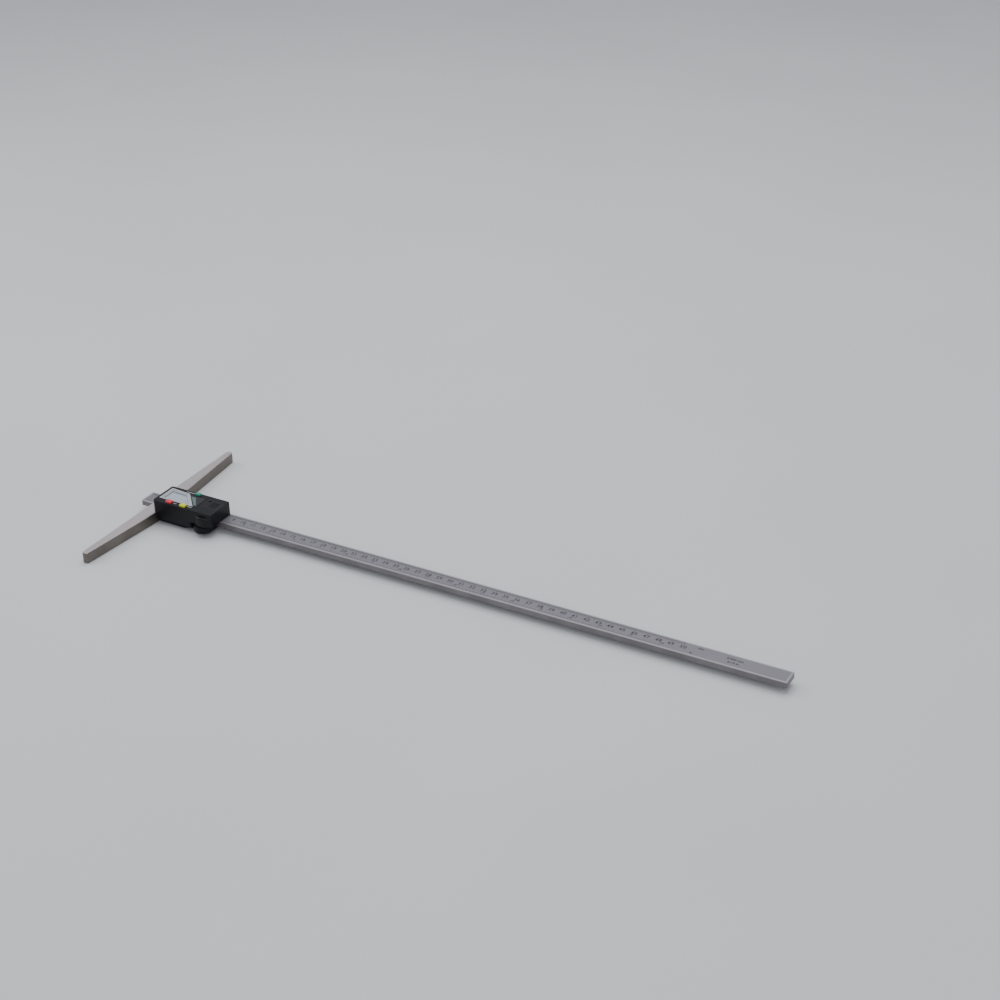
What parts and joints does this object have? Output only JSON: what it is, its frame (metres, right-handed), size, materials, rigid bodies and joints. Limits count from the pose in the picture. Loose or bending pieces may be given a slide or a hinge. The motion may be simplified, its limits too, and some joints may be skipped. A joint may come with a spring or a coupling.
{
  "type": "digital depth caliper",
  "caption": "Digital depth caliper: tapered steel bridge with a straight measuring face, long sliding scale beam, black head with display, buttons, thumb roller and lock screw.",
  "frame": {"origin": "middle of the bridge's measuring face, at half the bridge's thickness and just under the beam channel", "axes": "+X along the beam towards its far end, +Z out of the display, -Y towards the thumb roller"},
  "size_m": [0.585, 0.2, 0.0235],
  "materials": {
    "bridge_steel": "ground satin hardened stainless steel",
    "frame_black": "black oxide steel, satin",
    "fastener_steel": "turned steel, bright",
    "gib_bronze": "phosphor bronze, dull",
    "cover_black": "fine grained black ABS",
    "roller_black": "knurled black plastic",
    "bezel_silver": "satin silver trim",
    "window_clear": "clear acrylic",
    "face_gloss": "glossy dark printed film",
    "lcd": "pale blue-grey liquid crystal display",
    "holder_white": "white moulded frame",
    "zebra": "elastomer strip with carbon layers",
    "board_green": "glass epoxy board with solder resist",
    "chip_black": "black epoxy glob",
    "pad_rubber": "silicone rubber",
    "cell_steel": "nickel plated can",
    "contact_plate": "plated spring bronze",
    "button_red": "red moulded plastic",
    "button_yellow": "yellow-green moulded plastic",
    "button_green": "blue-green moulded plastic",
    "beam_steel": "satin ground stainless steel",
    "grid_copper": "printed circuit strip with copper pads",
    "label_grey": "satin grey printed scale"
  },
  "bodies": {
    "head": {"bridge": "bridge_steel", "slider_frame": "frame_black", "bridge_screws": "fastener_steel", "gib_strip": "gib_bronze", "gib_screws": "fastener_steel", "housing": "cover_black", "housing_screws": "fastener_steel", "back_cover": "cover_black", "back_cover_screws": "fastener_steel", "roller_axle": "fastener_steel", "roller_washer": "holder_white", "display_bezel": "bezel_silver", "display_window": "window_clear", "face_label": "face_gloss", "lcd_glass": "lcd", "lcd_holder": "holder_white", "zebra_connector": "zebra", "main_board": "board_green", "driver_chip": "chip_black", "button_pads": "pad_rubber", "battery_tray": "cover_black", "battery_cell": "cell_steel", "contact_plus": "contact_plate", "contact_minus": "contact_plate"},
    "off_button": {"button_off": "button_red"},
    "zero_button": {"button_zero": "button_yellow"},
    "unit_button": {"button_unit": "button_green"},
    "roller": {"thumb_roller": "roller_black"},
    "lock": {"lock_screw": "fastener_steel"},
    "battery_door": {"battery_cover": "cover_black"},
    "beam": {"beam": "beam_steel", "grid_strip": "grid_copper", "scale_label": "label_grey", "stop_screw": "fastener_steel"}
  },
  "joints": [
    {"name": "beam_slide", "type": "slide", "parent": "head", "child": "beam", "axis": [-1, 0, 0], "range_m": [-0.0112, 0.4888]},
    {"name": "roller_spin", "type": "hinge", "parent": "head", "child": "roller", "pos_m": [0.0598, -0.01605, 0.0017], "axis": [0, 0, 1], "continuous": true},
    {"name": "lock_turn", "type": "hinge", "parent": "head", "child": "lock", "pos_m": [0.04, 0.015, 0.0023], "axis": [0, 1, 0], "range_deg": [0, 360]},
    {"name": "battery_door_slide", "type": "slide", "parent": "head", "child": "battery_door", "axis": [1, 0, 0], "range_m": [0, 0.02]},
    {"name": "off_press", "type": "slide", "parent": "head", "child": "off_button", "axis": [0, 0, -1], "range_m": [0, 0.0008], "stiffness_N_per_m": 1500},
    {"name": "zero_press", "type": "slide", "parent": "head", "child": "zero_button", "axis": [0, 0, -1], "range_m": [0, 0.0008], "stiffness_N_per_m": 1500},
    {"name": "unit_press", "type": "slide", "parent": "head", "child": "unit_button", "axis": [0, 0, -1], "range_m": [0, 0.0008], "stiffness_N_per_m": 1500}
  ],
  "couplings": [
    {"joint": "roller_spin", "follows": "beam_slide", "rad_per_m": 125}
  ]
}
